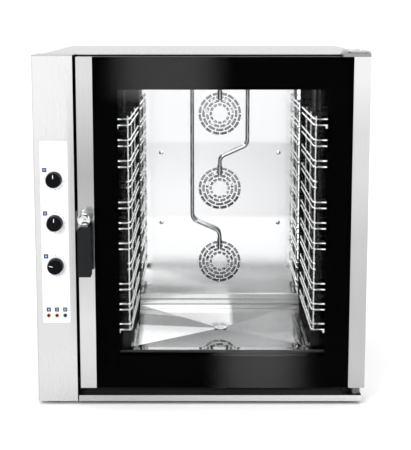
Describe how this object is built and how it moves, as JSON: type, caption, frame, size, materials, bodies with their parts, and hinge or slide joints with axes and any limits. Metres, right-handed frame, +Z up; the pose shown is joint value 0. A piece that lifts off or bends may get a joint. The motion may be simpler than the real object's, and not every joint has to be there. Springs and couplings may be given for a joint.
{
  "type": "combi steamer oven",
  "caption": "Tabletop combi steam oven with a hinged glass door, turning handle, control column with knobs, tray racks and fan baffle.",
  "frame": {"origin": "on the floor under the middle of the oven's bounding box", "axes": "+Z up, the front with the door and controls faces -Y, +X to the right seen from the front"},
  "size_m": [0.92, 0.89, 0.995],
  "materials": {
    "galvanised_steel": "dull zinc",
    "brushed_steel": "fine vertical brushing",
    "polished_steel": "polished",
    "wire_steel": "electropolished wire",
    "fan_steel": "satin",
    "heater_steel": "heat-darkened sheath",
    "chrome": "mirror chrome",
    "motor_paint": "dark paint",
    "insulation": "mineral wool",
    "rubber": "matt",
    "white_fascia": "satin white",
    "white_plastic": "satin",
    "grey_plastic": "satin",
    "beige_plastic": "satin",
    "black_plastic": "satin",
    "black_print": "ceramic print",
    "lens": "coloured lens",
    "tinted_glass": "clear toughened",
    "clear_glass": "clear toughened"
  },
  "bodies": {
    "oven": {"base_chassis": "galvanised_steel", "feet": "rubber", "drip_gutter": "brushed_steel", "control_column": "brushed_steel", "left_side_panel": "brushed_steel", "right_side_panel": "brushed_steel", "top_panel": "brushed_steel", "rear_panel": "brushed_steel", "front_frame": "polished_steel", "cavity_shell": "polished_steel", "cavity_floor": "polished_steel", "drain_strainer": "polished_steel", "drain_pipe": "polished_steel", "insulation": "insulation", "door_gasket": "rubber", "rack_posts": "wire_steel", "left_rack_guides": "wire_steel", "right_rack_guides": "wire_steel", "rack_studs": "wire_steel", "fan_baffle": "brushed_steel", "baffle_pillars": "polished_steel", "baffle_screws": "polished_steel", "upper_water_pipe": "polished_steel", "middle_water_pipe": "polished_steel", "lower_water_pipe": "polished_steel", "water_manifold": "polished_steel", "water_valve": "white_plastic", "fan_motors": "motor_paint", "heaters": "heater_steel", "control_fascia": "white_fascia", "thermostat": "grey_plastic", "timer_unit": "grey_plastic", "humidity_regulator": "grey_plastic", "lamp_bezels": "white_plastic", "lamp_lenses": "lens", "mounting_plate": "galvanised_steel", "contactors": "grey_plastic", "terminal_block": "beige_plastic", "cable_gland": "black_plastic", "vent_pipe": "polished_steel", "latch_striker": "polished_steel", "top_hinge_bracket": "polished_steel", "bottom_hinge_bracket": "polished_steel", "panel_screws": "polished_steel"},
    "door": {"door_outer_glass": "tinted_glass", "glass_border": "black_print", "door_left_profile": "brushed_steel", "door_right_profile": "brushed_steel", "door_bars": "galvanised_steel", "door_inner_frame": "polished_steel", "door_inner_glass": "clear_glass", "hinge_sockets": "polished_steel"},
    "handle": {"handle_grip": "black_plastic", "handle_boss": "chrome"},
    "temperature_control": {"temperature_knob": "black_plastic"},
    "timer_control": {"timer_knob": "black_plastic"},
    "humidity_control": {"humidity_knob": "black_plastic"},
    "upper_fan": {"upper_fan_wheel": "fan_steel"},
    "middle_fan": {"middle_fan_wheel": "fan_steel"},
    "lower_fan": {"lower_fan_wheel": "fan_steel"}
  },
  "joints": [
    {"name": "door_swing", "type": "hinge", "parent": "oven", "child": "door", "pos_m": [0.436, -0.365, 0.5], "axis": [0, 0, 1], "range_deg": [0, 120]},
    {"name": "handle_turn", "type": "hinge", "parent": "door", "child": "handle", "pos_m": [-0.3185, -0.387, 0.543], "axis": [0, -1, 0], "range_deg": [0, 75]},
    {"name": "temperature_turn", "type": "hinge", "parent": "oven", "child": "temperature_control", "pos_m": [-0.4045, -0.399, 0.645], "axis": [0, 1, 0], "range_deg": [0, 300]},
    {"name": "timer_turn", "type": "hinge", "parent": "oven", "child": "timer_control", "pos_m": [-0.4045, -0.399, 0.524], "axis": [0, 1, 0], "range_deg": [0, 315]},
    {"name": "humidity_turn", "type": "hinge", "parent": "oven", "child": "humidity_control", "pos_m": [-0.4045, -0.399, 0.403], "axis": [0, 1, 0], "range_deg": [-285, 15]},
    {"name": "lower_fan_spin", "type": "hinge", "parent": "oven", "child": "lower_fan", "pos_m": [0.058, 0.232, 0.281], "axis": [0, 1, 0], "continuous": true},
    {"name": "middle_fan_spin", "type": "hinge", "parent": "oven", "child": "middle_fan", "pos_m": [0.058, 0.232, 0.527], "axis": [0, 1, 0], "continuous": true},
    {"name": "upper_fan_spin", "type": "hinge", "parent": "oven", "child": "upper_fan", "pos_m": [0.058, 0.232, 0.773], "axis": [0, 1, 0], "continuous": true}
  ]
}
